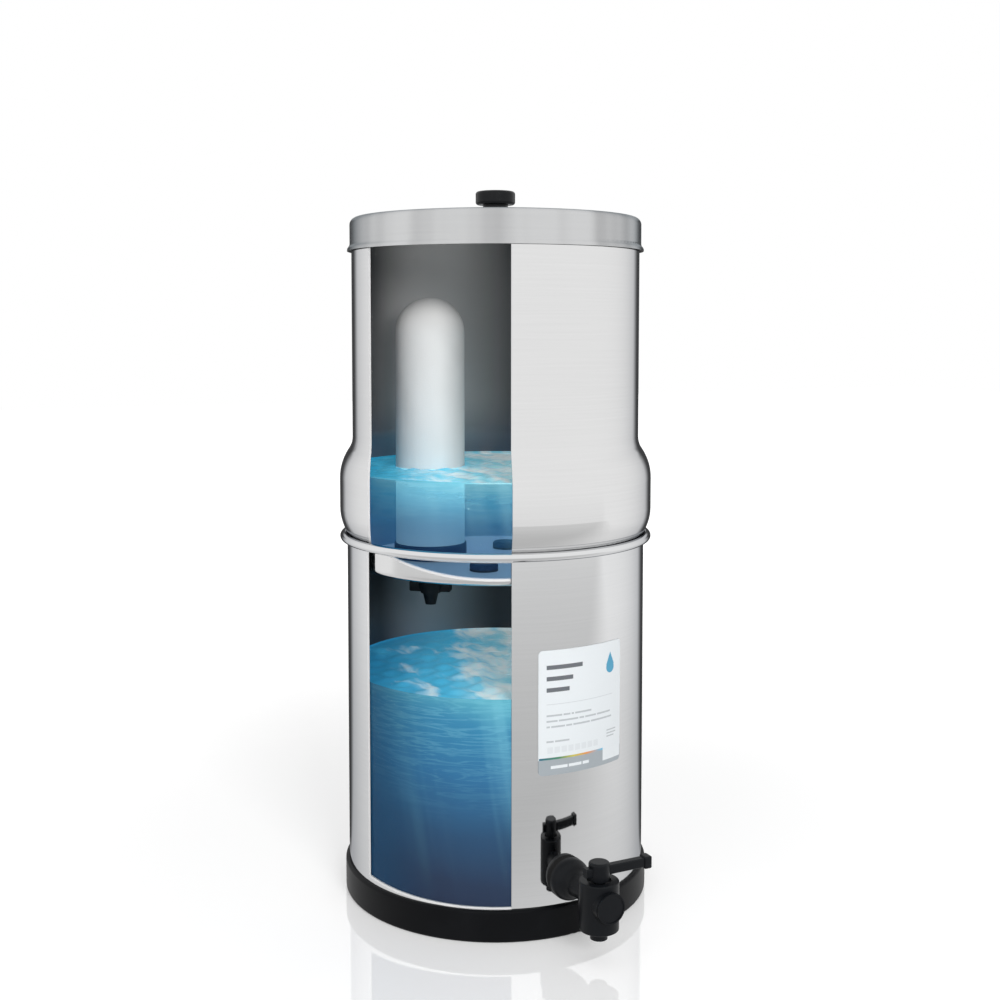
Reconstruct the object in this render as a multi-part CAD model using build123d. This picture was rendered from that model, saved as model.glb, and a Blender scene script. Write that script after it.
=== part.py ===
from build123d import *
import os
from math import acos, asin, cos, degrees, radians, sin, sqrt, tan

os.makedirs("parts", exist_ok=True)

# Gravity water filter: two stacked steel chambers, a lid, ceramic candles and a tap.
# Millimetres. +Z is up, -Y is the front where the tap stands, and the origin is the centre
# of the base ring's underside. The model is assembled: chambers nested and lid seated.

# ---- clearances ----
turn_gap = 0.05          # radial clearance of a turning fit
bolt_gap = 0.3           # radial clearance of a spigot or shank in its hole
rest_gap = 0.3           # between bodies that only rest on each other
glue_gap = 0.1           # glue line round a window pane, and radial play of a glued or pushed piece

# ---- sheet metal ----
wall = 0.8               # sheet of both chambers
lid_wall = 0.7           # sheet of the lid

# ---- base ring ----
ring_wall = 2.5          # rubber outside the chamber
ring_height = 22.0       # table to the top of the ring
ring_lip = 10.0          # how far the lip reaches in under the chamber
ring_edge_r = 2.0        # rounding of the outer edges

# ---- lower chamber ----
lower_od = 216.0         # outside of the lower tube
lower_floor_z = 5.0      # underside of its floor, on the ring's lip
lower_corner_r = 5.0     # outside radius between floor and wall
bead_z = 259.1           # height of the centre of the curled rim
bead_r = 3.0             # outside radius of the curl
bead_turn = 290.0        # degrees that the sheet curls through

# ---- upper chamber, heights above the underside of its floor ----
skirt_play = 1.8         # radial, between the skirt below the bulge and the lower chamber
bulge_inset = 0.1        # the widest band is this much inside the lower chamber's rim, radially
tube_inset = 9.3         # the tube above the bulge is this much inside the band, radially
upper_height = 247.0     # floor to the top of the rolled rim
upper_corner_r = 4.0     # outside radius between floor and skirt
skirt_height = 17.1      # where the skirt starts to widen
bulge_band = 21.0        # height of the straight band of the bulge
under_convex_r = 35.0    # outside radius of the bulge's lower shoulder
under_concave_r = 6.0    # outside radius where that shoulder leaves the skirt
over_convex_r = 37.0     # outside radius of the bulge's upper shoulder
over_concave_r = 15.0    # outside radius where that shoulder meets the tube
rim_roll_r = 3.0         # outside radius of the rolled-in rim
rim_roll_turn = 200.0    # degrees that the rim rolls through

# ---- windows: from an upright plane at the left to a radial plane next to the tap ----
window_dir = 243.5       # the way they face and their lower edges run down, degrees from +X
window_end = 249.2       # degrees from +X, the edge next to the tap
window_sector = 90.0     # what they are cut from, degrees back from that edge
lower_window_left = 87.0  # its left edge, from the plane that faces window_dir through the axis
upper_window_left = 85.1
lower_window_over_ring = 1.6  # lowest point of the lower window, above the base ring
lower_window_tilt = 5.0  # slope of its lower edge, degrees
lower_window_under_bead = 3.7  # its upper edge below the middle of the curled rim
upper_window_low = 5.3   # above the underside of the upper floor
upper_window_tilt = 22.0
upper_window_under_rim = 12.4  # its upper edge below the top of the rim
window_reach = 10.0      # how far a window's cutting shape reaches past the wall, in and out

# ---- label ----
label_dir = 277.3        # degrees from +X of its middle
label_width = 69.0
label_low = 111.5
label_height = 84.5
label_corner_r = 3.0
label_thickness = 0.3
label_glue = 0.15        # glue between the label and the wall

# ---- candles and blanking plugs in the upper floor ----
hole_circle_r = 48.7     # the four holes lie on this radius
candle_dir = 144.0       # degrees from +X of the left candle, the right one is opposite
candle_od = 50.6
candle_height = 191.3    # floor to the top of the dome
candle_wall = 8.0        # thickness of the ceramic
cap_od = 53.3            # base cap under the ceramic
cap_height = 11.5
cap_floor = 4.0          # cap's floor thickness
cap_edge_r = 1.0
spigot_r = 6.0           # threaded spigot of the cap
spigot_tip_r = 3.9
spigot_tip_taper = 9.0   # length that tapers at the end
spigot_drop = 34.5       # how far it hangs below the floor's underside
spigot_bore_r = 2.5
seal_od = 27.0           # rubber washer between cap and floor
seal_thickness = 2.5
seal_recess = 2.0        # depth of the pocket that holds it in the cap
nut_collar_od = 28.0     # wing nut
nut_collar_height = 4.0
nut_hub_r = 9.4
nut_tip_wall = 1.3       # of the nut's narrow end, round the spigot
nut_height = 25.5
nut_straight = 16.8      # height of the hub before it narrows
wing_span = 31.0
wing_thickness = 6.0
wing_height = 7.7
wing_round = 1.5
plug_od = 20.0           # head of a blanking plug
plug_head = 4.0
plug_shank_r = 5.0
plug_drop = 9.0          # how far its shank hangs below the floor
plug_washer_thickness = 1.5
plug_nut_flats = 17.0
plug_nut_height = 5.0

# ---- lid ----
lid_play = 0.5           # radial, round the upper tube
lid_depth = 23.7         # lower edge to the top of the shoulder's arc
lid_shoulder_r = 5.0
lid_crown_r = 1000.0     # radius of the slightly domed roof
lid_flange_out = 2.2     # how far the flared flange stands out
lid_flange_height = 5.0
lid_flare_r = 3.0        # outside radii of the flare's two bends, their sum is twice this
lid_ring_r = 60.0        # pressed ring in the roof
lid_ring_depth = 1.3
knob_od = 28.5
knob_height = 14.7
knob_neck_od = 18.0
knob_neck_height = 4.0
knob_top_round = 2.0
knob_washer_thickness = 1.0
screw_r = 2.5
screw_head_r = 4.5
screw_head_height = 2.6
screw_slot_width = 1.0
screw_slot_depth = 0.8
screw_length = 9.0       # in the knob
screw_washer_r = 7.5
screw_washer_thickness = 1.0

# ---- tap ----
tap_z = 40.0             # height of the hole and of the waterway
tap_reach = 150.0        # chamber axis to the barrel's axis
shank_r = 9.5
waterway_r = 4.5
flange_r = 14.15
flange_edge = 1.8        # straight edge of the flange before it domes
flange_convex_r = 9.0
neck_concave_r = 5.0
neck_r = 7.5
outer_washer = 2.2       # thickness at the middle
inner_washer = 3.0
washer_step = 0.6        # inner washer is this much wider than the back nut's corners
back_nut_flats = 27.0
back_nut_height = 8.0
shank_spare = 4.0        # thread that shows past the nut
barrel_r = 13.1
barrel_below = 18.7      # the barrel's ends below and above the waterway
barrel_above = 13.7
barrel_round = 0.9
barrel_floor = 3.0       # barrel's floor thickness
barrel_bore_r = 8.0
spout_r = 5.7
spout_bore_r = 4.0
spout_length = 6.3
boss_r = 10.2            # round boss on the barrel's front
boss_out = 1.2           # how far it stands out of the barrel
face_r = 9.9             # front cap on the boss
face_thickness = 1.6
face_rim = 0.9           # width of the raised rim of the front cap
face_sink = 0.5
face_pin_r = 2.5
face_pin_length = 3.0
rotor_top_drop = 4.0     # barrel top to the rotor's shoulder
rotor_port_r = 3.5
rotor_float = 0.2        # under the rotor, and to the retaining ring above it
stem_r = 4.0
o_ring_r = 0.9           # half of the O-ring's thickness
o_ring_squeeze_gap = 0.05
o_ring_height = 6.5      # from the rotor's ends to the rings
retaining_thickness = 2.0
stem_cap_r = 6.9
stem_cap_height = 11.8
stem_cap_round = 1.6
stem_grip = 2.4          # how far the stem enters the cap
lever_height = 6.2
lever_width = 5.6
lever_edge_r = 1.0
lever_above = 2.6        # underside of the lever above the cap's lower edge
lever_back = 3.6         # stub that shows behind the cap
lever_reach = 37.0       # axis to the end of the bar
tip_past = 1.3           # how far the tip reaches past the bar
tip_length = 5.6
tip_height = 8.2
tip_width = 7.6
tip_round = 1.1

# ---- places worked out from the sizes ----
lower_r = lower_od / 2
lower_inner_r = lower_r - wall
bead_circle_r = lower_inner_r + bead_r
ring_r = lower_r + ring_wall + glue_gap
skirt_r = lower_inner_r - skirt_play
bulge_r = bead_circle_r + bead_r - bulge_inset
upper_r = bulge_r - tube_inset
under_angle = acos(1 - (bulge_r - skirt_r) / (under_convex_r + under_concave_r))
over_angle = acos(1 - (bulge_r - upper_r) / (over_convex_r + over_concave_r))
band_low = skirt_height + (under_convex_r + under_concave_r) * sin(under_angle)
band_top = band_low + bulge_band
# The bulge's lower shoulder sits on the bead: two round sections, one rest_gap apart.
shoulder_to_bead = under_convex_r + bead_r + rest_gap
shoulder_in = bead_circle_r - (bulge_r - under_convex_r)
upper_z = bead_z + sqrt(shoulder_to_bead**2 - shoulder_in**2) - band_low
floor_z = upper_z + wall
upper_top = upper_z + upper_height
# each window: radii of its wall, radius at its foot, left edge, lower edge, its tilt, upper edge
lower_window = (
    lower_inner_r, lower_r, lower_r, lower_window_left,
    ring_height + lower_window_over_ring, lower_window_tilt, bead_z - lower_window_under_bead,
)
upper_window = (
    upper_r - wall, bulge_r, skirt_r, upper_window_left,
    upper_z + upper_window_low, upper_window_tilt, upper_top - upper_window_under_rim,
)
lid_inner_r = upper_r + lid_play
lid_r = lid_inner_r + lid_wall
# The lid's rounded shoulder sits over the rolled rim, one rest_gap from it.
rim_in_shoulder = lid_shoulder_r - lid_wall - rim_roll_r - rest_gap
shoulder_past_rim = (lid_r - lid_shoulder_r) - (upper_r - rim_roll_r)
shoulder_z = upper_top - rim_roll_r - sqrt(rim_in_shoulder**2 - shoulder_past_rim**2)
lid_z = shoulder_z + lid_shoulder_r - lid_depth
# The lid's roof and shoulder are two arcs that touch; roof_z is the centre of the roof's arc.
shoulder_x = lid_r - lid_shoulder_r
roof_z = shoulder_z - sqrt((lid_crown_r - lid_shoulder_r) ** 2 - shoulder_x**2)
roof_meet = degrees(asin(shoulder_x / (lid_crown_r - lid_shoulder_r)))
lid_crown_z = roof_z + lid_crown_r
barrel_low = tap_z - barrel_below
barrel_top = tap_z + barrel_above
barrel_bore_low = barrel_low + barrel_floor
spout_low = barrel_low - spout_length
rotor_r = barrel_bore_r - turn_gap
rotor_low = barrel_bore_low + rotor_float
rotor_top = barrel_top - rotor_top_drop
stem_cap_low = barrel_top + rest_gap
lever_low = stem_cap_low + lever_above
tip_end = lever_reach + tip_past
face_out = tap_reach + barrel_r + boss_out


# ---- drawing helpers ----
def turned(section):
    """A closed section, drawn as (radius, height), turned about the Z axis."""
    return revolve(Plane.XZ * section, Axis.Z)


def block(r_low, r_high, z_low, z_high):
    """The section of a plain ring, or of a disc when r_low is 0."""
    return Pos((r_low + r_high) / 2, (z_low + z_high) / 2) * Rectangle(r_high - r_low, z_high - z_low)


def pressed(path, thickness):
    """A turned sheet-metal pressing whose mid-surface is the path."""
    return turned(trace(path, thickness))


def disc(radius, z_low, z_high):
    """An upright cylinder on the Z axis, from one height to another."""
    return Pos(0, 0, (z_low + z_high) / 2) * Cylinder(radius, z_high - z_low)


def shoulder(r_wide, r_narrow, z_wide, convex_r, concave_r, up):
    """Two tangent arcs that lead from a wide wall to a narrow one, upwards (up=1) or downwards (-1)."""
    angle = acos(1 - (r_wide - r_narrow) / (convex_r + concave_r))
    turn = up * degrees(angle)
    z_narrow = z_wide + up * (convex_r + concave_r) * sin(angle)
    return [
        CenterArc((r_wide - convex_r, z_wide), convex_r, 0, turn),
        CenterArc((r_narrow + concave_r, z_narrow), concave_r, 180, turn),
    ]


def behind(plane, size):
    """A block of space on the back of a plane."""
    return plane * Pos(0, 0, -size / 2) * Box(2 * size, 2 * size, size)


def window_space(r_low, r_high, foot_r, left, low, tilt, top, margin=0.0):
    """What is cut out of a wall between two radii for its window, narrowed by a margin.

    The lower edge slopes down to its height at foot_r, and the left edge is a distance from the axis.
    """
    way = Vector(cos(radians(window_dir)), sin(radians(window_dir)), 0)
    across = Vector(-way.Y, way.X, 0)
    turn = window_sector - degrees(margin / r_high)
    ring = block(r_low - window_reach, r_high + window_reach, low - window_reach, top - margin)
    piece = Rot(0, 0, window_end - window_sector) * revolve(Plane.XZ * ring, Axis.Z, turn)
    lower_edge = Plane(
        origin=way * foot_r + Vector(0, 0, low + margin),
        x_dir=across,
        z_dir=way * tan(radians(tilt)) + Vector(0, 0, 1),
    )
    left_edge = Plane(origin=across * (margin - left), x_dir=way, z_dir=across)
    return piece - behind(lower_edge, 2 * top) - behind(left_edge, 2 * top)


def on_tap(shape):
    """Put a shape drawn along Z onto the tap's level axis, with Z as the distance from the middle."""
    return Plane(origin=(0, 0, tap_z), x_dir=(1, 0, 0), z_dir=(0, -1, 0)).location * shape


def on_barrel(shape):
    """Move an upright shape from the middle to the barrel's axis."""
    return Pos(0, -tap_reach, 0) * shape


def hexagon(flats, z_low, z_high):
    """An upright hexagonal bar, by its width across flats."""
    return Pos(0, 0, z_low) * extrude(RegularPolygon(flats / 2, 6, major_radius=False), z_high - z_low)


# ---- base and lower chamber ----
def lower_wall_path():
    """Mid-surface of the lower chamber: floor, corner, wall and curled bead."""
    mid_r = lower_r - wall / 2
    corner = lower_corner_r - wall / 2
    curl = bead_r - wall / 2
    z = lower_floor_z + wall / 2
    return [
        Line((0, z), (mid_r - corner, z)),
        CenterArc((mid_r - corner, z + corner), corner, -90, 90),
        Line((mid_r, z + corner), (mid_r, bead_z)),
        CenterArc((mid_r + curl, bead_z), curl, 180, -bead_turn),
    ]


def make_base_ring():
    wall_part = block(lower_r + glue_gap, ring_r, 0, ring_height)
    wall_part = fillet(wall_part.vertices().group_by(Axis.X)[-1], ring_edge_r)
    lip = block(lower_r - ring_lip, lower_r + 2 * glue_gap, 0, lower_floor_z)
    return turned(wall_part + lip)


def make_lower_chamber():
    shell = pressed(lower_wall_path(), wall)
    hole = on_tap(disc(shank_r + bolt_gap, lower_r / 2, lower_r + wall))
    return shell - window_space(*lower_window) - hole


def make_lower_pane():
    return turned(block(lower_inner_r, lower_r, 0, bead_z)) & window_space(*lower_window, glue_gap)


def make_label():
    inner_r = lower_r + label_glue
    skin = turned(block(inner_r, inner_r + label_thickness, label_low, label_low + label_height))
    outline = RectangleRounded(label_width, label_height, label_corner_r)
    way = Vector(cos(radians(label_dir)), sin(radians(label_dir)), 0)
    face = Plane(
        origin=Vector(0, 0, label_low + label_height / 2),
        x_dir=Vector(-way.Y, way.X, 0),
        z_dir=way,
    )
    return skin & extrude(face * outline, 2 * lower_r)


# ---- upper chamber ----
def upper_wall_path():
    """Mid-surface of the upper chamber: floor, corner, skirt, bulge, tube and rolled rim."""
    half = wall / 2
    corner = upper_corner_r - half
    roll = rim_roll_r - half
    skirt, band, tube = skirt_r - half, bulge_r - half, upper_r - half
    low, top = upper_z + band_low, upper_z + band_top
    tube_low = top + (over_convex_r + over_concave_r) * sin(over_angle)
    z = upper_z + half
    roll_z = upper_top - rim_roll_r
    return [
        Line((0, z), (skirt - corner, z)),
        CenterArc((skirt - corner, z + corner), corner, -90, 90),
        Line((skirt, z + corner), (skirt, upper_z + skirt_height)),
        *shoulder(band, skirt, low, under_convex_r - half, under_concave_r + half, -1),
        Line((band, low), (band, top)),
        *shoulder(band, tube, top, over_convex_r - half, over_concave_r + half, 1),
        Line((tube, tube_low), (tube, roll_z)),
        CenterArc((tube - roll, roll_z), roll, 0, rim_roll_turn),
    ]


def hole_places():
    """The four holes in the upper floor, as turns about Z: left candle, front plug, right candle, rear plug."""
    return [candle_dir + 90 * quarter for quarter in range(4)]


def at_hole(angle, shape):
    """Move an upright shape from the middle to a hole in the upper floor."""
    return Rot(0, 0, angle) * Pos(hole_circle_r, 0, 0) * shape


def make_upper_chamber():
    shell = pressed(upper_wall_path(), wall) - window_space(*upper_window)
    for place, angle in enumerate(hole_places()):
        hole_r = (spigot_r if place % 2 == 0 else plug_shank_r) + bolt_gap
        shell -= at_hole(angle, disc(hole_r, upper_z - wall, floor_z + wall))
    return shell


def make_upper_pane():
    return pressed(upper_wall_path(), wall) & window_space(*upper_window, glue_gap)


# ---- candle, drawn on the Z axis over the underside of the upper floor ----
def make_candle_cap():
    """Base cap with its recess for the ceramic, a pocket for the seal and the hollow spigot."""
    low = floor_z + seal_thickness - seal_recess
    top = floor_z + cap_height
    tip = upper_z - spigot_drop
    cup = block(0, cap_od / 2, low, top)
    cup = fillet(cup.vertices().group_by(Axis.X)[-1], cap_edge_r)
    cup -= block(0, candle_od / 2 + glue_gap, low + cap_floor, top)
    cup -= block(0, seal_od / 2 + glue_gap, low, low + seal_recess)
    spigot = Polyline(
        (0, low + cap_floor), (spigot_r, low + cap_floor), (spigot_r, tip + spigot_tip_taper),
        (spigot_tip_r, tip), (0, tip), close=True,
    )
    bore = block(0, spigot_bore_r, tip, low + cap_floor)
    return turned(cup + make_face(spigot) - bore)


def make_candle_ceramic():
    """Hollow ceramic tube with a round dome, standing in the base cap."""
    low = floor_z + seal_thickness - seal_recess + cap_floor
    radius = candle_od / 2
    centre = floor_z + candle_height - radius
    outer = block(0, radius, low, centre) + Pos(0, centre) * Circle(radius)
    inner_r = radius - candle_wall
    inner = block(0, inner_r, low, centre) + Pos(0, centre) * Circle(inner_r)
    return turned((outer - inner) & block(0, candle_od, low, floor_z + 2 * candle_height))


def make_candle_core():
    """Carbon filling inside the ceramic."""
    low = floor_z + seal_thickness - seal_recess + cap_floor + glue_gap
    radius = candle_od / 2 - candle_wall - glue_gap
    centre = floor_z + candle_height - candle_od / 2
    body = block(0, radius, low, centre) + Pos(0, centre) * Circle(radius)
    return turned(body & block(0, candle_od, low, floor_z + candle_height))


def make_candle_seal():
    return turned(block(spigot_r + glue_gap, seal_od / 2, floor_z, floor_z + seal_thickness))


def make_wing_nut():
    """Wing nut that draws the candle onto the floor from below."""
    top = upper_z - rest_gap
    low = top - nut_height
    bend = top - nut_straight
    tip_r = spigot_r + turn_gap + nut_tip_wall
    hub = Polyline((0, top), (nut_hub_r, top), (nut_hub_r, bend), (tip_r, low), (0, low), close=True)
    nut = turned(make_face(hub) + block(0, nut_collar_od / 2, top - nut_collar_height, top))
    wing = RectangleRounded(wing_span, wing_height, wing_round)
    wings = extrude(Plane.XZ * wing, wing_thickness / 2, both=True)
    nut += Pos(0, 0, bend - wing_height / 2) * wings
    return nut - disc(spigot_r + turn_gap, low, top)


# ---- blanking plug ----
def make_plug():
    low = floor_z + plug_washer_thickness
    head = block(0, plug_od / 2, low, low + plug_head)
    head = fillet(head.vertices().group_by(Axis.X)[-1].sort_by(Axis.Y)[-1], plug_head / 2)
    return turned(head + block(0, plug_shank_r, upper_z - plug_drop, low + plug_head / 2))


def make_plug_washer():
    return turned(block(plug_shank_r + glue_gap, plug_od / 2, floor_z, floor_z + plug_washer_thickness))


def make_plug_nut():
    nut = hexagon(plug_nut_flats, upper_z - plug_nut_height, upper_z)
    return nut - disc(plug_shank_r + glue_gap, upper_z - plug_nut_height, upper_z)


# ---- lid ----
def lid_wall_path():
    """Mid-surface of the lid: domed roof, shoulder, skirt and flared flange."""
    mid_r = lid_r - lid_wall / 2
    flare_low = lid_z + lid_flange_height
    bend = lid_flare_r - lid_wall / 2
    out = lid_flange_out - lid_wall / 2
    angle = acos(1 - out / (2 * lid_flare_r))
    rise = 2 * lid_flare_r * sin(angle)
    wide = mid_r + out
    flare = shoulder(wide, mid_r, lid_z + lid_flange_height - rise, bend, 2 * lid_flare_r - bend, 1)
    return [
        CenterArc((0, roof_z), lid_crown_r - lid_wall / 2, 90 - roof_meet, roof_meet),
        CenterArc((shoulder_x, shoulder_z), lid_shoulder_r - lid_wall / 2, 0, 90 - roof_meet),
        Line((mid_r, shoulder_z), (mid_r, flare_low)),
        *flare,
        Line((wide, flare_low - rise), (wide, lid_z)),
    ]


def make_lid_shell():
    shell = pressed(lid_wall_path(), lid_wall)
    ring_z = roof_z + sqrt(lid_crown_r**2 - lid_ring_r**2)
    under_roof = Pos(0, roof_z) * Circle(lid_crown_r) & block(0, lid_r, lid_z, lid_crown_z)
    rib = Pos(lid_ring_r, ring_z) * Circle(lid_ring_depth + lid_wall) & under_roof
    shell += turned(rib)
    shell -= turned(Pos(lid_ring_r, ring_z) * Circle(lid_ring_depth))
    return shell - disc(screw_r + bolt_gap, lid_z, lid_crown_z + lid_wall)


def make_knob():
    low = lid_crown_z + knob_washer_thickness
    top = lid_crown_z + knob_height
    head = block(0, knob_od / 2, low + knob_neck_height, top)
    head = fillet(head.vertices().group_by(Axis.X)[-1], knob_top_round)
    body = head + block(0, knob_neck_od / 2, low, low + 2 * knob_neck_height)
    return turned(body) - disc(screw_r + glue_gap, low, low + screw_length + glue_gap)


def make_knob_washer():
    low = lid_crown_z
    section = block(screw_r + glue_gap, knob_neck_od / 2, low, low + knob_washer_thickness)
    return turned(section)


def make_screw_washer():
    top = lid_crown_z - lid_wall - glue_gap
    return turned(block(screw_r + glue_gap, screw_washer_r, top - screw_washer_thickness, top))


def make_knob_screw():
    seat = lid_crown_z - lid_wall - glue_gap - screw_washer_thickness
    head = block(0, screw_head_r, seat - screw_head_height, seat)
    head = fillet(head.vertices().group_by(Axis.X)[-1].sort_by(Axis.Y)[0], screw_head_height / 2)
    shank = block(0, screw_r, seat, lid_crown_z + knob_washer_thickness + screw_length)
    slot = Box(2 * screw_head_r, screw_slot_width, 2 * screw_slot_depth)
    return turned(head + shank) - Pos(0, 0, seat - screw_head_height) * slot


# ---- tap, fixed half ----
def flange_path_end():
    """Distance from the chamber's axis at which the flange's dome has narrowed to the neck."""
    angle = acos(1 - (flange_r - neck_r) / (flange_convex_r + neck_concave_r))
    dome = lower_r + outer_washer + flange_edge
    return dome, dome + (flange_convex_r + neck_concave_r) * sin(angle)


def make_tap_body():
    dome, neck_start = flange_path_end()
    seat = lower_r + outer_washer
    outline = make_face(Wire([
        Line((0, seat), (flange_r, seat)),
        Line((flange_r, seat), (flange_r, dome)),
        *shoulder(flange_r, neck_r, dome, flange_convex_r, neck_concave_r, 1),
        Line((neck_r, neck_start), (neck_r, tap_reach)),
        Line((neck_r, tap_reach), (0, tap_reach)),
        Line((0, tap_reach), (0, seat)),
    ]))
    shank_end = back_nut_inner() - shank_spare
    body = on_tap(turned(outline + block(0, shank_r, shank_end, seat)))
    barrel = disc(barrel_r, barrel_low, barrel_top)
    barrel = fillet(barrel.edges(), barrel_round)
    body += on_barrel(barrel + disc(spout_r, spout_low, barrel_low + barrel_round))
    boss = disc(boss_r, tap_reach, face_out)
    body += on_tap(boss)
    body -= on_barrel(disc(barrel_bore_r, barrel_bore_low, barrel_top))
    body -= on_barrel(disc(spout_bore_r, spout_low, barrel_top))
    body -= on_tap(disc(waterway_r, shank_end, tap_reach))
    return body - on_tap(disc(face_pin_r + glue_gap, face_out - face_pin_length, face_out))


def back_nut_outer():
    """Distance from the chamber's axis to the nut's face on the inner washer."""
    return lower_inner_r - inner_washer


def back_nut_inner():
    return back_nut_outer() - back_nut_height


def washer_r():
    """Inner washer: wide enough for the corners of the back nut."""
    return back_nut_flats / sqrt(3) + washer_step


def make_outer_washer():
    ring = disc(flange_r, lower_r - wall, lower_r + outer_washer)
    ring -= disc(shank_r + glue_gap, lower_r - wall, lower_r + outer_washer)
    return on_tap(ring) - disc(lower_r, 0, bead_z)


def make_inner_washer():
    ring = disc(washer_r(), back_nut_outer(), lower_r)
    ring -= disc(shank_r + glue_gap, back_nut_outer(), lower_r)
    return on_tap(ring) & disc(lower_inner_r, 0, bead_z)


def make_back_nut():
    nut = hexagon(back_nut_flats, back_nut_inner(), back_nut_outer())
    return on_tap(nut - disc(shank_r + glue_gap, back_nut_inner(), back_nut_outer()))


def make_front_cap():
    """Round cap on the barrel's boss, with a raised rim round a bare face."""
    cap = disc(face_r, face_out, face_out + face_thickness)
    cap -= disc(face_r - face_rim, face_out + face_thickness - face_sink, face_out + face_thickness)
    return on_tap(cap + disc(face_pin_r, face_out - face_pin_length + glue_gap, face_out))


def make_retaining_ring():
    low = rotor_top + rotor_float
    section = block(stem_r + bolt_gap, barrel_bore_r, low, low + retaining_thickness)
    return on_barrel(turned(section))


# ---- tap, turning half ----
def o_ring_places():
    return rotor_low + o_ring_height, rotor_top - o_ring_height / 2


def make_rotor():
    """Rotor with an L-shaped port: in at the side, out at the bottom. Its side port faces -X when shut."""
    groove_low_r = barrel_bore_r - 2 * (o_ring_r + o_ring_squeeze_gap)
    rotor = disc(rotor_r, rotor_low, rotor_top)
    for z in o_ring_places():
        half = o_ring_r + o_ring_squeeze_gap
        rotor -= turned(block(groove_low_r, rotor_r, z - half, z + half))
    rotor += disc(stem_r, rotor_top, stem_cap_low + stem_grip)
    rotor -= disc(rotor_port_r, rotor_low, tap_z)
    port = Rot(0, -90, 0) * Pos(0, 0, rotor_r / 2) * Cylinder(rotor_port_r, rotor_r)
    return on_barrel(rotor - Pos(0, 0, tap_z) * port)


def make_o_ring(z):
    circle_r = barrel_bore_r - o_ring_squeeze_gap - o_ring_r
    return on_barrel(Pos(0, 0, z) * Torus(circle_r, o_ring_r))


def make_stem_cap():
    cap = disc(stem_cap_r, stem_cap_low, stem_cap_low + stem_cap_height)
    cap = fillet(cap.edges().group_by(Axis.Z)[-1], stem_cap_round)
    cap -= disc(stem_r + turn_gap, stem_cap_low, stem_cap_low + stem_grip + turn_gap)
    slot = Box(2 * stem_cap_r, lever_width + 2 * turn_gap, lever_height + 2 * turn_gap)
    return on_barrel(cap - Pos(0, 0, lever_low + lever_height / 2) * slot)


def make_lever():
    length = lever_reach + stem_cap_r + lever_back
    bar = Box(length, lever_width, lever_height)
    bar = fillet(bar.edges().filter_by(Axis.X), lever_edge_r)
    middle = (lever_reach - stem_cap_r - lever_back) / 2
    return on_barrel(Pos(middle, 0, lever_low + lever_height / 2) * bar)


def make_lever_tip():
    tip = Box(tip_length, tip_width, tip_height)
    tip = fillet(tip.edges(), tip_round)
    bar_end = lever_reach - (tip_end - tip_length / 2)
    tip -= Pos(bar_end - tip_length / 2, 0, 0) * Box(
        tip_length, lever_width + 2 * turn_gap, lever_height + 2 * turn_gap
    )
    return on_barrel(Pos(tip_end - tip_length / 2, 0, lever_low + lever_height / 2) * tip)


# ---- all pieces by name ----
left, front, right, rear = hole_places()
candle_pieces = {
    "ceramic": make_candle_ceramic(),
    "carbon_core": make_candle_core(),
    "base_cap": make_candle_cap(),
    "seal_washer": make_candle_seal(),
    "wing_nut": make_wing_nut(),
}
plug_pieces = {"blanking_plug": make_plug(), "plug_washer": make_plug_washer(), "plug_nut": make_plug_nut()}
lower_o_ring, upper_o_ring = (make_o_ring(z) for z in o_ring_places())

pieces = {
    "base_ring": make_base_ring(),
    "lower_chamber": make_lower_chamber(),
    "lower_window_pane": make_lower_pane(),
    "label": make_label(),
    "tap_body": make_tap_body(),
    "tap_outer_washer": make_outer_washer(),
    "tap_inner_washer": make_inner_washer(),
    "tap_back_nut": make_back_nut(),
    "tap_front_cap": make_front_cap(),
    "tap_retaining_ring": make_retaining_ring(),
    "tap_rotor": make_rotor(),
    "tap_lower_o_ring": lower_o_ring,
    "tap_upper_o_ring": upper_o_ring,
    "tap_stem_cap": make_stem_cap(),
    "tap_lever": make_lever(),
    "tap_lever_tip": make_lever_tip(),
    "upper_chamber": make_upper_chamber(),
    "upper_window_pane": make_upper_pane(),
    "lid_shell": make_lid_shell(),
    "lid_knob": make_knob(),
    "lid_knob_washer": make_knob_washer(),
    "lid_knob_screw": make_knob_screw(),
    "lid_screw_washer": make_screw_washer(),
}
for side, angle in (("left", left), ("right", right)):
    for name, piece in candle_pieces.items():
        pieces[f"{side}_candle_{name}"] = at_hole(angle, piece)
for side, angle in (("front", front), ("rear", rear)):
    for name, piece in plug_pieces.items():
        pieces[f"{side}_{name}"] = at_hole(angle, piece)

for node, shape in pieces.items():
    export_step(shape, f"parts/{node}.step")
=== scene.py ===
"""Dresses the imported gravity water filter: its finishes, the water in it, its light and its camera.

Lengths are metres, and directions are degrees from +X about the upright axis, unless said otherwise.
+Z is up and -Y is the front where the tap stands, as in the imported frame.
"""

import logging
import math
from dataclasses import dataclass
from enum import Enum
from functools import cache
from typing import Callable, Mapping, Optional, Sequence, Union

import bmesh
import bpy
from mathutils import Matrix, Vector


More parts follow.
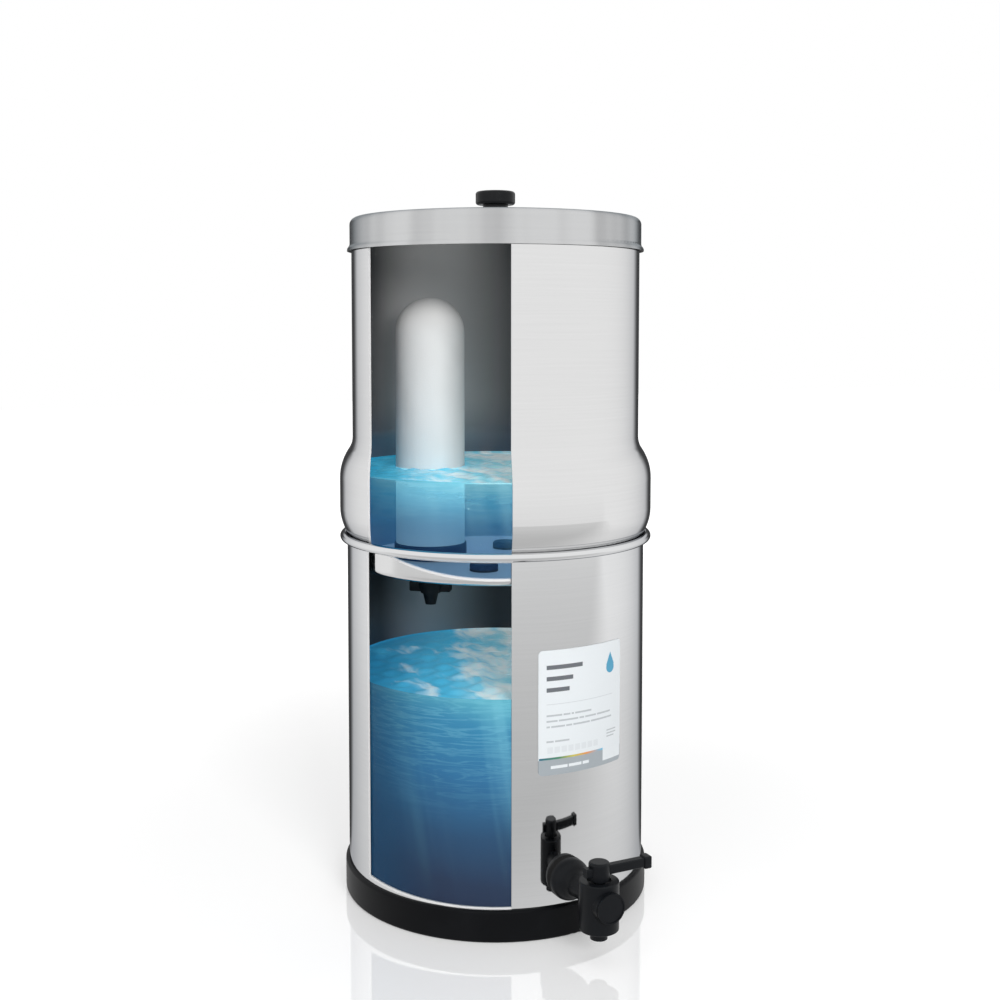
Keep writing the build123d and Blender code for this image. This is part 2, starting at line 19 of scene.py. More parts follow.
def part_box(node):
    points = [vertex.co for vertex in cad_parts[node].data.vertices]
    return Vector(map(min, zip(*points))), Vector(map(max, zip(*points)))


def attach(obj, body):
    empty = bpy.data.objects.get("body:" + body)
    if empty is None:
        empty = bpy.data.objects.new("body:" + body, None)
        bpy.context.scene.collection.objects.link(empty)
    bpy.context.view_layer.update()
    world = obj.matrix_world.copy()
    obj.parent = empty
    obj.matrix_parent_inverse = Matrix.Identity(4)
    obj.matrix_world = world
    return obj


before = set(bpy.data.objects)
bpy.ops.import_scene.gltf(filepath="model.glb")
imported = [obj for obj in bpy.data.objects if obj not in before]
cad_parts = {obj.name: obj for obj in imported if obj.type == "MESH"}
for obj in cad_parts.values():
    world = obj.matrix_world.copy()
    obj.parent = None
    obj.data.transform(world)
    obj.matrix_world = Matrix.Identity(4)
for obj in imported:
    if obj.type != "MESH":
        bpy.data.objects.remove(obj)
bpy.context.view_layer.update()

LOG = logging.getLogger("water_filter")

Colour = tuple[float, float, float]
Point = tuple[float, float]
Hole = tuple[float, float, float]
Stops = Sequence[tuple[float, Colour]]
Values = Mapping[Union[str, int], object]
Number = Union["Signal", float]
Socket = bpy.types.NodeSocket
Material = bpy.types.Material
Piece = bpy.types.Object

WHITE, BLACK = (1.0, 1.0, 1.0), (0.0, 0.0, 0.0)
NEAR_ZERO = 1e-5
LIT_FROM = 333.5  # direction that the painted light in the water comes from


class Body(Enum):
    """The bodies of the filter that new pieces ride on."""

    BASE = "base"
    UPPER = "upper"


class Grain(Enum):
    """Which way a metal's polishing lines run; the value is the way that the inside's flat part faces."""

    AROUND = 1.0  # around the axis, in a pressing that is open at the top
    RINGS = -1.0  # in rings on a flat top


# ---- trees of nodes ----
class NodeTree:
    """A tree of shader or geometry nodes, grown by one method."""

    def __init__(self, tree: bpy.types.NodeTree) -> None:
        """Hold an empty tree."""
        self.tree = tree

    def node(
        self, kind: str, sockets: Optional[Values] = None, settings: Optional[Values] = None
    ) -> bpy.types.Node:
        """Add one node.

        Args:
            kind: the node's type.
            sockets: values of its sockets, or what is linked to them, by name or by number.
            settings: its properties, set before its sockets; "stops" holds a colour ramp's stops.

        Returns:
            The new node.
        """
        made = self.tree.nodes.new(kind)
        for name, value in (settings or {}).items():
            if name != "stops":
                setattr(made, name, value)
                continue
            for number, (place, colour) in enumerate(value):
                elements = made.color_ramp.elements
                stop = elements[number] if number < 2 else elements.new(place)
                stop.position, stop.color = place, (*colour, 1.0)
        for key, value in (sockets or {}).items():
            value = value.socket if isinstance(value, Signal) else value
            value = value.outputs[0] if isinstance(value, bpy.types.Node) else value
            if isinstance(value, Socket):
                self.tree.links.new(value, made.inputs[key])
            else:
                colour = made.inputs[key].type == "RGBA"
                made.inputs[key].default_value = (*value, 1.0) if colour else value
        return made

    def number(self, operation: str, *values: Number) -> "Signal":
        """Add one Math node and take its result."""
        made = self.node("ShaderNodeMath", dict(enumerate(values)), {"operation": operation})
        return Signal(self, made.outputs[0])

    def split(self, vector: Socket) -> list["Signal"]:
        """The three numbers of a vector."""
        parts = self.node("ShaderNodeSeparateXYZ", {0: vector})
        return [Signal(self, part) for part in parts.outputs]

    def rays(self, *kinds: str) -> list["Signal"]:
        """For each kind of light ray 1 where such a ray asks, else 0."""
        path = self.node("ShaderNodeLightPath")
        return [Signal(self, path.outputs[f"Is {kind} Ray"]) for kind in kinds]

    def white(self, kind: str, strength: Number) -> bpy.types.Node:
        """A shader that sends out white light."""
        return self.node(kind, {"Color": WHITE, "Strength": strength})

    def blend(self, share: Number, first: bpy.types.Node, second: bpy.types.Node) -> bpy.types.Node:
        """Blend two shaders, from the first at 0 to the second at 1."""
        return self.node("ShaderNodeMixShader", {0: share, 1: first, 2: second})


def maths(operation: str, turned: bool = False) -> Callable[["Signal", Number], "Signal"]:
    """Make one of the operators of Signal.

    Args:
        operation: what its Math node does.
        turned: whether the other number is the first of the two.

    Returns:
        The operator.
    """

    def operator(this: "Signal", other: Number) -> "Signal":
        """Join two numbers by a Math node."""
        return this.owner.number(operation, *((other, this) if turned else (this, other)))

    return operator


class Signal:
    """A number that changes from place to place, with the arithmetic that Math nodes do on it."""

    def __init__(self, owner: NodeTree, socket: Socket) -> None:
        """Wrap the output of a tree's node that carries the number."""
        self.owner, self.socket = owner, socket

    __add__ = __radd__ = maths("ADD")
    __mul__ = __rmul__ = maths("MULTIPLY")
    __sub__, __rsub__ = maths("SUBTRACT"), maths("SUBTRACT", turned=True)
    __truediv__, __rtruediv__ = maths("DIVIDE"), maths("DIVIDE", turned=True)
    __gt__, __lt__ = maths("GREATER_THAN"), maths("LESS_THAN")

    def size(self) -> "Signal":
        """Its size without its sign."""
        return self.owner.number("ABSOLUTE", self)

    def between(self, low: float, high: float) -> "Signal":
        """1 where it lies between two numbers, else 0."""
        return (self > low) * (self < high)

    def eased(self, low: float, high: float, first: float = 0.0, last: float = 1.0) -> "Signal":
        """Lead it smoothly from one number to another.

        Args:
            low: where the change starts.
            high: where it ends.
            first: the result up to the start.
            last: the result from the end on.

        Returns:
            The eased number.
        """
        ends = {"Value": self, "From Min": low, "From Max": high, "To Min": first, "To Max": last}
        made = self.owner.node("ShaderNodeMapRange", ends, {"interpolation_type": "SMOOTHSTEP"})
        return Signal(self.owner, made.outputs["Result"])


def along(x: Signal, y: Signal, direction: float) -> tuple[Signal, Signal]:
    """How far a place lies along a direction, and how far to the left of it."""
    cosine, sine = math.cos(math.radians(direction)), math.sin(math.radians(direction))
    return x * cosine + y * sine, y * cosine - x * sine


class Surface(NodeTree):
    """One material, painted on a piece's own Object coordinates."""

    def __init__(self, name: str) -> None:
        """Start an empty material.

        Args:
            name: the material's name.
        """
        self.material = bpy.data.materials.new(name)
        self.material.use_nodes = True
        self.material.node_tree.nodes.clear()
        super().__init__(self.material.node_tree)
        self.place = self.node("ShaderNodeTexCoord").outputs["Object"]
        self.x, self.y, self.z = self.split(self.place)
        self.radius = self.number("SQRT", self.x * self.x + self.y * self.y)

    def vector(self, x: Number, y: Number, z: Number) -> Socket:
        """Join three numbers into a vector."""
        return self.node("ShaderNodeCombineXYZ", {0: x, 1: y, 2: z}).outputs[0]

    def stretched(self, x: float, y: float, z: float) -> Socket:
        """The Object coordinates, multiplied along each axis."""
        return self.vector(self.x * x, self.y * y, self.z * z)

    def angle(self, start: float = 0.0) -> Signal:
        """The angle about the upright axis from a start direction, in radians."""
        ahead, aside = along(self.x, self.y, start)
        return self.number("ARCTAN2", aside, ahead)

    def facing(self) -> tuple[Signal, Signal]:
        """How far the surface faces away from the upright axis, and how far up, from -1 to 1."""
        across, ahead, up = self.split(self.node("ShaderNodeNewGeometry").outputs["Normal"])
        return (across * self.x + ahead * self.y) / (self.radius + NEAR_ZERO), up

    def noise(
        self, where: Socket, scale: float = 1.0, detail: float = 3.0, rough: float = 0.5, warp: float = 0.0
    ) -> Signal:
        """Cloudy noise from 0 to 1, with so many clouds to a unit of the vector that it reads."""
        wanted = {"Vector": where, "Scale": scale, "Detail": detail, "Roughness": rough, "Distortion": warp}
        return Signal(self, self.node("ShaderNodeTexNoise", wanted).outputs[0])

    def ramp(self, value: Number, stops: Stops) -> Socket:
        """A colour that follows a number through stops."""
        return self.node("ShaderNodeValToRGB", {0: value}, {"stops": stops}).outputs[0]

    def mix(self, share: Number, first: object, second: object) -> Socket:
        """Blend two colours, from the first at 0 to the second at 1."""
        made = self.node("ShaderNodeMix", {0: share, 6: first, 7: second}, {"data_type": "RGBA"})
        return made.outputs[2]

    def bump(self, height: Number, depth: float, strength: float) -> Socket:
        """A normal bent by a height from 0 to 1, of which 1 stands for the depth."""
        made = self.node("ShaderNodeBump", {"Height": height, "Distance": depth, "Strength": strength})
        return made.outputs["Normal"]

    def close(self, sockets: Values) -> Material:
        """End the material with one Principled shader, and give it."""
        self.node("ShaderNodeOutputMaterial", {0: self.node("ShaderNodeBsdfPrincipled", sockets)})
        return self.material


class Shaper(NodeTree):
    """A Geometry Nodes tree with named inputs, which makes one kind of plain mesh."""

    def __init__(self, name: str, **sizes: str) -> None:
        """Start a tree.

        Args:
            name: the tree's name.
            sizes: the name and the kind of each size that it takes.
        """
        super().__init__(bpy.data.node_groups.new(name, "GeometryNodeTree"))
        face = self.tree.interface
        self.keys = {}
        for key, kind in {"Base": "Geometry", **sizes, "Finish": "Material"}.items():
            socket = face.new_socket(name=key, in_out="INPUT", socket_type=f"NodeSocket{kind}")
            self.keys[key] = socket.identifier
        face.new_socket(name="Shape", in_out="OUTPUT", socket_type="NodeSocketGeometry")
        self.entry = self.node("NodeGroupInput")

    def size(self, name: str) -> Signal:
        """One of the tree's named inputs."""
        return Signal(self, self.entry.outputs[name])

    def close(self, shape: bpy.types.Node) -> None:
        """End the tree with real geometry in its finish.

        Args:
            shape: the node that makes the geometry.
        """
        real = self.node("GeometryNodeRealizeInstances", {0: shape})
        dressed = self.node("GeometryNodeSetMaterial", {"Geometry": real, "Material": self.size("Finish")})
        self.node("NodeGroupOutput", {0: dressed})

    def make(self, base: bpy.types.Mesh, finish: Material, **sizes: float) -> Piece:
        """Run the tree on a mesh.

        Args:
            base: the mesh that it starts from, which has the piece's name.
            finish: the piece's material.
            sizes: the value of each named input.

        Returns:
            The piece, as a plain mesh at the origin.
        """
        piece = link(base.name, base)
        grown = piece.modifiers.new(base.name, "NODES")
        grown.node_group = self.tree
        for key, value in {**sizes, "Finish": finish}.items():
            grown[self.keys[key]] = value
        return settled(piece)


# ---- meshes ----
def link(name: str, data: bpy.types.ID) -> Piece:
    """Put a mesh, a lamp or a camera into the scene, at the origin.

    Args:
        name: the new object's name.
        data: what it shows.

    Returns:
        The object.
    """
    piece = bpy.data.objects.new(name, data)
    bpy.context.scene.collection.objects.link(piece)
    return piece


def settled(piece: Piece) -> Piece:
    """Turn what an object's modifiers make into its own plain mesh.

    Args:
        piece: the object.

    Returns:
        The same object.
    """
    graph = bpy.context.evaluated_depsgraph_get()
    graph.update()
    mesh = bpy.data.meshes.new_from_object(piece.evaluated_get(graph))
    mesh.name = piece.name
    piece.modifiers.clear()
    piece.data = mesh
    return piece


def close_up(piece: Piece, gap: float = 1e-6) -> None:
    """Merge a mesh's doubles and point its faces outwards.

    Args:
        piece: the object with the mesh.
        gap: how far apart doubles are, at most.
    """
    work = bmesh.new()
    work.from_mesh(piece.data)
    bmesh.ops.remove_doubles(work, verts=work.verts, dist=gap)
    bmesh.ops.dissolve_degenerate(work, edges=work.edges, dist=gap)
    bmesh.ops.recalc_face_normals(work, faces=work.faces)
    work.to_mesh(piece.data)
    work.free()


def pierce(piece: Piece, holes: Sequence[Hole], low: float, high: float) -> None:
    """Open round upright holes through a piece.

    Args:
        piece: what is opened.
        holes: centre x, centre y and radius of each hole.
        low: height where the holes start.
        high: height where they end.
    """
    work = bmesh.new()
    tall = {"cap_ends": True, "segments": 96, "depth": high - low}
    for x, y, radius in holes:
        place = Matrix.Translation((x, y, (low + high) / 2))
        bmesh.ops.create_cone(work, radius1=radius, radius2=radius, matrix=place, **tall)
    mesh = bpy.data.meshes.new("hole cutter")
    work.to_mesh(mesh)
    work.free()
    cut = piece.modifiers.new("holes", "BOOLEAN")
    cut.operation, cut.solver, cut.object = "DIFFERENCE", "EXACT", link("hole_cutter", mesh)
    cutter = cut.object
    settled(piece)
    bpy.data.objects.remove(cutter)


def straight(start: Point, end: Point, step: float = 0.02) -> list[Point]:
    """Points along a straight stretch of an outline, as (radius, height), without its start."""
    count = max(1, math.ceil(math.dist(start, end) / step))
    return [tuple(a + (b - a) * (n / count) for a, b in zip(start, end)) for n in range(1, count + 1)]


def bend(centre: Point, radius: float, start: float, turn: float, step: float = 7.5) -> list[Point]:
    """Points along an arc of an outline, without its start.

    Args:
        centre: the arc's centre, as (radius, height).
        radius: the arc's radius.
        start: the direction of its first point from the centre, in degrees.
        turn: how far it turns, in degrees.
        step: the turn between points, at most.

    Returns:
        The points.
    """
    count = max(2, math.ceil(abs(turn) / step))
    angles = [math.radians(start + turn * number / count) for number in range(1, count + 1)]
    return [(centre[0] + radius * math.cos(a), centre[1] + radius * math.sin(a)) for a in angles]


@cache
def turning_tree() -> Shaper:
    """A tree that turns an outline about the upright axis.

    Returns:
        The tree.
    """
    tree = Shaper("turned outline", Sides="Int")
    line = tree.node("GeometryNodeMeshToCurve", {0: tree.size("Base")})
    upright = tree.node("GeometryNodeTransform", {"Geometry": line, "Rotation": (math.pi / 2, 0.0, 0.0)})
    ring = tree.node("GeometryNodeCurvePrimitiveCircle", {"Resolution": tree.size("Sides"), "Radius": 1e-6})
    skin = tree.node("GeometryNodeCurveToMesh", {"Curve": ring, "Profile Curve": upright})
    tree.close(tree.node("GeometryNodeSetShadeSmooth", {0: skin}))
    return tree


@cache
def bubble_tree() -> Shaper:
    """A tree that scatters small bubbles over a sheet that stands in the water.

    Returns:
        The tree.
    """
    tree = Shaper("bubbles", Density="Float", Smallest="Float", Largest="Float", Seed="Int")
    spread = tree.node("GeometryNodeDistributePointsOnFaces", {
        "Mesh": tree.size("Base"), "Density": tree.size("Density"), "Seed": tree.size("Seed"),
    })
    ball = tree.node("GeometryNodeMeshIcoSphere", {"Radius": 1.0, "Subdivisions": 2})
    span = {2: tree.size("Smallest"), 3: tree.size("Largest"), "Seed": tree.size("Seed")}
    chance = tree.node("FunctionNodeRandomValue", span, {"data_type": "FLOAT"})
    tree.close(tree.node("GeometryNodeInstanceOnPoints", {
        "Points": spread, "Instance": ball, "Scale": chance.outputs[1],
    }))
    return tree


# ---- finishes ----
@dataclass(frozen=True)
class Finish:
    """What a piece is made of, under its material's name."""

    name: str

    def material(self) -> Material:
        """Paint the finish; each kind has its own way."""
        raise NotImplementedError


@dataclass(frozen=True)
class Window:
    """A pale, less metallic border painted round the opening that is cut in a wall: a painted highlight on
    its edge.
    """

    left: float  # from the upright plane of its way to its left edge, as seen from outside
    low: float  # height of its lower edge
    tilt: float  # slope of its lower edge, in degrees
    wall: float  # radius of the wall
    top: float  # height of its upper edge
    way: float = 243.5  # direction that it faces
    end: float = 249.2  # direction of its right edge
    span: Point = (-3e-4, 0.0017)  # of the border, outwards from the edge
    tone: Colour = (0.97, 0.97, 0.97)
    matt: float = 0.6  # how far it hides the metal's mirror

    def border(self, paint: Surface) -> Signal:
        """The painted highlight to the left of the opening, below it and above it.

        Args:
            paint: the wall's material.

        Returns:
            1 on the border, else 0.
        """
        ahead, aside = along(paint.x, paint.y, self.way)
        below = self.low - (ahead - self.wall) * math.tan(math.radians(self.tilt)) - paint.z
        lower = paint.number("MAXIMUM", -self.left - aside, below)
        past = paint.number("MAXIMUM", lower, paint.z - self.top)
        return past.between(*self.span) * (ahead > 0.0) * (paint.angle(self.end) < 0.0)


@dataclass(frozen=True)
class SheetSteel(Finish):
    """Stainless sheet: outside in one polish, inside duller and painted darker, with a painted sheen and
    fine polishing lines.
    """

    tone: Colour  # outside
    inner_tone: Colour  # inside, in the painted sheen where the light falls
    inner_dark: Colour  # inside, beside that: painted shade
    wet_tone: Colour  # inside, under water
    rough: float
    inner_rough: float
    grain: Grain  # which way the polishing lines run
    line_depth: float
    rim: float  # height above which all of the sheet has the outside's polish
    level: float = -1.0  # height of the water that wets the inside
    floor: float = -1.0  # height below which the inside is the floor
    wet_glow: Colour = BLACK  # painted glow for the light that the water leads onto the wet wall
    floor_glow: Colour = BLACK  # painted glow for the light that the water leads onto the wet floor
    band: float = 91.5  # direction of the painted sheen on the inside
    sheen: Point = (0.05, 0.75)  # where the painted sheen starts to fade and has gone, in radians from its middle
    edge_tone: Colour = (0.5, 0.51, 0.53)  # of a reflection that only grazes the sheet
    inner_metal: float = 0.08  # how far the inside shows bare metal under its dull skin
    bounce: float = 0.11  # share of its colour that painted glow, for light thrown about inside the chamber, adds
    water_shade: float = 0.7  # how strong the painted bluish shade on the inside is just above the water
    # colour of the painted bluish shade just above the water
    water_shade_tone: Colour = (0.06, 0.08, 0.13)
    wear_and_band_tone: Colour = (0.1, 0.1, 0.105)  # of polishing lines and wear, and of the dark bands that are partly painted reflection
    fan: float = 0.0  # strength of the soft bands across the polishing lines, partly polish and partly painted reflection
    window: Optional[Window] = None  # the opening that is cut in it

    def inside(self, paint: Surface) -> Signal:
        """Where the sheet faces the chamber's inside: 1 there, else 0."""
        outward, up = paint.facing()
        return paint.number("MAXIMUM", outward < -0.2, up * self.grain.value > 0.7) * (paint.z < self.rim)

    def lines(self, paint: Surface) -> Signal:
        """Fine polishing lines.

        Args:
            paint: the material.

        Returns:
            Their height, from 0 to 1.
        """
        where = paint.stretched(12.0, 12.0, 900.0)
        if self.grain is Grain.RINGS:
            where = paint.vector(paint.radius * 900.0, paint.angle() * 1.5, paint.z * 900.0)
        return paint.noise(where, rough=0.55)

    def polish_and_sheen_bands(self, paint: Surface) -> Signal:
        """Soft light and dark bands across its lines, from 0 to 1: partly what turned polishing leaves,
        partly painted reflection.
        """
        turn = 2.6 / (paint.radius + NEAR_ZERO)
        return paint.noise(paint.vector(paint.x * turn, paint.y * turn, 0.0), detail=2.0).eased(0.38, 0.66)

    def inner_colour(self, paint: Surface) -> Socket:
        """Colour of the inside, with its painted upright sheen and painted shade, the painted bluish shade
        just above the water, and its wet part.

        Args:
            paint: the material.

        Returns:
            The colour.
        """
        # painted sheen: a lighter upright band on the inside, with painted shade beside it
        sheen = paint.angle(self.band).size().eased(*self.sheen, 1.0, 0.0)
        # painted bluish shade on the wall, fading out within 5 cm above the water
        near = (paint.z - self.level).eased(0.0, 0.05, self.water_shade, 0.0)
        dry = paint.mix(near, paint.mix(sheen, self.inner_dark, self.inner_tone), self.water_shade_tone)
        return paint.mix(paint.z < self.level, dry, self.wet_tone)

    def material(self) -> Material:
        """Paint the finish.

        Returns:
            The material.
        """
        paint = Surface(self.name)
        inside, lines, inner = self.inside(paint), self.lines(paint), self.inner_colour(paint)
        cloud = paint.noise(paint.place, 9.0, 2.0)
        tone, metal = self.tone, 1.0 - inside * (1.0 - self.inner_metal)
        if self.window:
            # painted highlight: the pale border on the window's edge
            edge_highlight = self.window.border(paint) * (1.0 - inside)
            tone, metal = paint.mix(edge_highlight, tone, self.window.tone), metal - edge_highlight * self.window.matt
        # polishing lines and wear darken the tone, and the bands add partly painted reflection
        wear_and_bands = lines * 0.07 + cloud * 0.05
        if self.fan:
            wear_and_bands = wear_and_bands + self.polish_and_sheen_bands(paint) * self.fan
        # painted glow: light thrown about on the inside, and the water's light on the wet wall and floor
        wet_light = inside * (paint.z < self.level)
        glow = paint.mix(wet_light, paint.mix(inside * self.bounce, BLACK, inner), self.wet_glow)
        rough = self.rough + (self.inner_rough - self.rough) * inside
        return paint.close({
            "Base Color": paint.mix(wear_and_bands, paint.mix(inside, tone, inner), self.wear_and_band_tone),
            "Metallic": metal, "Roughness": rough + lines * 0.03 + cloud * 0.02,
            "Specular Tint": self.edge_tone,
            "Emission Color": paint.mix(wet_light * (paint.z < self.floor), glow, self.floor_glow),
            "Emission Strength": 1.0, "Normal": paint.bump(lines, self.line_depth, 0.09),
        })


@dataclass(frozen=True)
class Moulded(Finish):
    """Moulded plastic or rubber, with a fine grain and faint flow marks."""

    tone: Colour
    pale: Colour  # where it is handled or dusty
    rough: float
    grain: float  # grains to a metre
    depth: float  # of the grain
    coat: float = 0.0  # weight of a gloss coat
    shine: float = 0.1  # strength of its reflections
    water_line: float = 9.0  # height above which water tints it
    tint: Colour = BLACK

    def material(self) -> Material:
        """Paint the finish.

        Returns:
            The material.
        """
        paint = Surface(self.name)
        grain = paint.noise(paint.place, self.grain, 2.0, 0.6)
        flow = paint.noise(paint.place, 35.0)
        dry = paint.mix(flow.eased(0.45, 0.75) * 0.5 + grain * 0.25, self.tone, self.pale)
        return paint.close({
            "Base Color": paint.mix(paint.z > self.water_line, dry, self.tint),
            "Roughness": self.rough + flow * 0.1 - 0.05, "Specular IOR Level": self.shine,
            "Coat Weight": self.coat, "Coat Roughness": 0.2,
            "Normal": paint.bump(grain, self.depth, 0.5),
        })


@dataclass(frozen=True)
class Ceramic(Finish):
    """Unglazed ceramic of a filter candle, with pores and a faint stain, and painted blue light and glow on
    its wet part.
    """

    level: float  # height of the water round it
    tone: Colour = (0.82, 0.82, 0.815)
    stain: Colour = (0.68, 0.68, 0.67)  # of stains and pores
    wet_light: Colour = (0.42, 0.88, 1.0)  # painted blue light just under the water
    deep: Colour = (0.19, 0.34, 0.46)  # painted blue light deeper down
    bounce: Colour = (0.13, 0.13, 0.13)  # painted glow for light thrown about in the chamber, on its dry part

    def material(self) -> Material:
        """Paint the finish.

        Returns:
            The material.
        """
        paint = Surface(self.name)
        pores = paint.noise(paint.place, 900.0, rough=0.7)
        cloud = paint.noise(paint.place, 28.0, 4.0)
        stained = cloud.eased(0.4, 0.8) * 0.5 + pores.eased(0.55, 0.75) * 0.35
        under = paint.mix((self.level - paint.z).eased(0.0, 0.045), self.wet_light, self.deep)
        sunk = paint.z < self.level
        return paint.close({
            "Base Color": paint.mix(sunk, paint.mix(stained, self.tone, self.stain), under),
            "Emission Color": paint.mix(sunk, self.bounce, under), "Emission Strength": 0.5,
            "Roughness": 0.85 - pores * 0.1, "Specular IOR Level": 0.3,
            "Normal": paint.bump(pores, 0.0002, 0.6),
        })


@dataclass(frozen=True)
class Clear(Finish):
    """Thin clear pane: hardly a tint, brighter at its cut edges."""

    tone: Colour = (0.02, 0.05, 0.06)
    edge: Colour = (0.85, 0.92, 0.95)  # on its cut edges

    def material(self) -> Material:
        """Paint the finish.

        Returns:
            The material.
        """
        paint = Surface(self.name)
        smear = paint.noise(paint.stretched(6.0, 6.0, 14.0))
        cut = paint.facing()[0].size() < 0.75
        return paint.close({
            "Base Color": paint.mix(cut, self.tone, self.edge), "Roughness": 0.05 + smear * 0.05,
            "Specular IOR Level": 0.0, "Alpha": 0.005 + smear * 0.008 + cut * 0.5,
        })


@dataclass(frozen=True)
class Bubbles(Finish):
    """Pale glassy air bubbles, a little cloudy, with a faint painted glow."""

    tone: Colour = (0.42, 0.72, 0.84)
    pale: Colour = (0.75, 0.92, 0.98)  # where they are cloudy

    def material(self) -> Material:
        """Paint the finish.

        Returns:
            The material.
        """
        paint = Surface(self.name)
        cloud = paint.noise(paint.place, 400.0, 2.0)
        tone = paint.mix(cloud, self.tone, self.pale)
        return paint.close({
            "Base Color": tone, "Emission Color": tone, "Emission Strength": 0.2, "Roughness": 0.15,
            "Alpha": 0.35 + cloud * 0.3,
        })


@dataclass(frozen=True)
class WaterBody(Finish):
    """The side of a body of water: paler near its surface, dark below, with painted light falling through it
    and a painted glow.
    """

    low: float  # height of its bottom
    level: float  # height of its surface
    stops: Stops  # its colours from the bottom, 0, to the surface, 1
    shaft: Colour  # painted light shafts and streaks
    dim: Colour  # painted shade at the side that the light doesn't reach
    dimmed: float  # how much of that colour shows there
    thick: Point  # how much it hides, from the bottom to the surface
    wall: float  # radius past which it counts as the side of the water
    glow: float  # strength of its painted glow, for the light that it scatters
    bottom: float = 0.0016  # height of the part at the bottom that stays clear

    def material(self) -> Material:
        """Paint the finish.

        Returns:
            The material.
        """
        paint = Surface(self.name)
        height = (paint.z - self.low) / (self.level - self.low)
        # painted light: lighter towards the side that it comes from, with shafts and streaks of light
        side = along(paint.x, paint.y, LIT_FROM)[0]
        drift = paint.noise(paint.stretched(16.0, 16.0, 9.0), warp=0.6)
        depths = paint.ramp(height + (drift - 0.5) * 0.16 + side * 0.9, self.stops)
        slant = side + paint.z * 0.16
        rays = paint.noise(paint.vector(slant * 60.0, 0.0, paint.z * 2.0), detail=2.0)
        threads = paint.noise(paint.stretched(20.0, 20.0, 260.0), rough=0.55, warp=0.8)
        streak = (1.0 - (threads - 0.5).size() * 14.0).eased(0.0, 1.0)
        reach = height.eased(0.05, 1.0) * side.eased(-0.09, -0.02)
        tone = paint.mix(rays.eased(0.46, 0.74) * 0.26 * reach, depths, self.shaft)
        tone = paint.mix(streak * 0.22 * height.eased(0.4, 1.0), tone, self.shaft)
        tone = paint.mix(side.eased(-0.095, -0.034, self.dimmed, 0.0), tone, self.dim)
        outer = (paint.radius > self.wall) * (paint.z > self.low + self.bottom)
        return paint.close({
            "Base Color": tone, "Emission Color": tone, "Emission Strength": self.glow,
            "Roughness": 0.2, "Specular IOR Level": 0.03,
            "Alpha": outer * height.eased(0.0, 1.0, *self.thick),
        })


@dataclass(frozen=True)
class WaterTop(Finish):
    """The surface of a body of water, with painted soft pools of bright light on it."""

    deep: Colour  # painted shade at the side that the light doesn't reach
    mid: Colour
    pale: Colour  # painted light at the side that the light comes from
    bright: Colour  # painted pools of light
    reach: float  # the surface's radius
    glow: float  # strength of its painted glow, for the light that it scatters

    def material(self) -> Material:
        """Paint the finish.

        Returns:
            The material.
        """
        paint = Surface(self.name)
        lit = along(paint.x, paint.y, LIT_FROM)[0].eased(-0.95 * self.reach, 0.35 * self.reach)
        streaks = paint.noise(paint.stretched(24.0, 20.0, 20.0), warp=0.6)
        pools = paint.noise(paint.stretched(58.0, 26.0, 20.0), warp=0.5)
        tone = paint.ramp(lit, ((0.0, self.deep), (0.5, self.mid), (1.0, self.pale)))
        tone = paint.mix(streaks.eased(0.46, 0.7) * 0.45, tone, self.mid)
        tone = paint.mix((pools + lit * 0.36 - 0.22).eased(0.42, 0.74) * 0.85, tone, self.bright)
        return paint.close({
            "Base Color": tone, "Emission Color": tone, "Emission Strength": self.glow,
            "Roughness": 0.15, "Specular IOR Level": 0.1, "Normal": paint.bump(pools, 0.001, 0.3),
        })


@dataclass(frozen=True)
class Page:
    """Places on a printed sheet, in shares of its width and height, and plain shapes on it."""

    across: Signal
    up: Signal
    gap: float = 0.014  # between words

    def block(self, left: float, low: float, wide: float, high: float) -> Signal:
        """A printed rectangle: 1 on it, else 0."""
        return self.across.between(left, left + wide) * self.up.between(low, low + high)

    def words(self, rows: Sequence[Sequence[float]]) -> Signal:
        """Lines of bars that stand for words.

        Args:
            rows: for each line its start, its lower edge, its height, and where each of its words ends.

        Returns:
            1 on the bars, else 0.
        """
        bars = []
        for left, low, high, *ends in rows:
            starts = [left] + [end + self.gap for end in ends[:-1]]
            bars += [self.block(start, low, end - start, high) for start, end in zip(starts, ends)]
        return sum(bars[1:], bars[0])


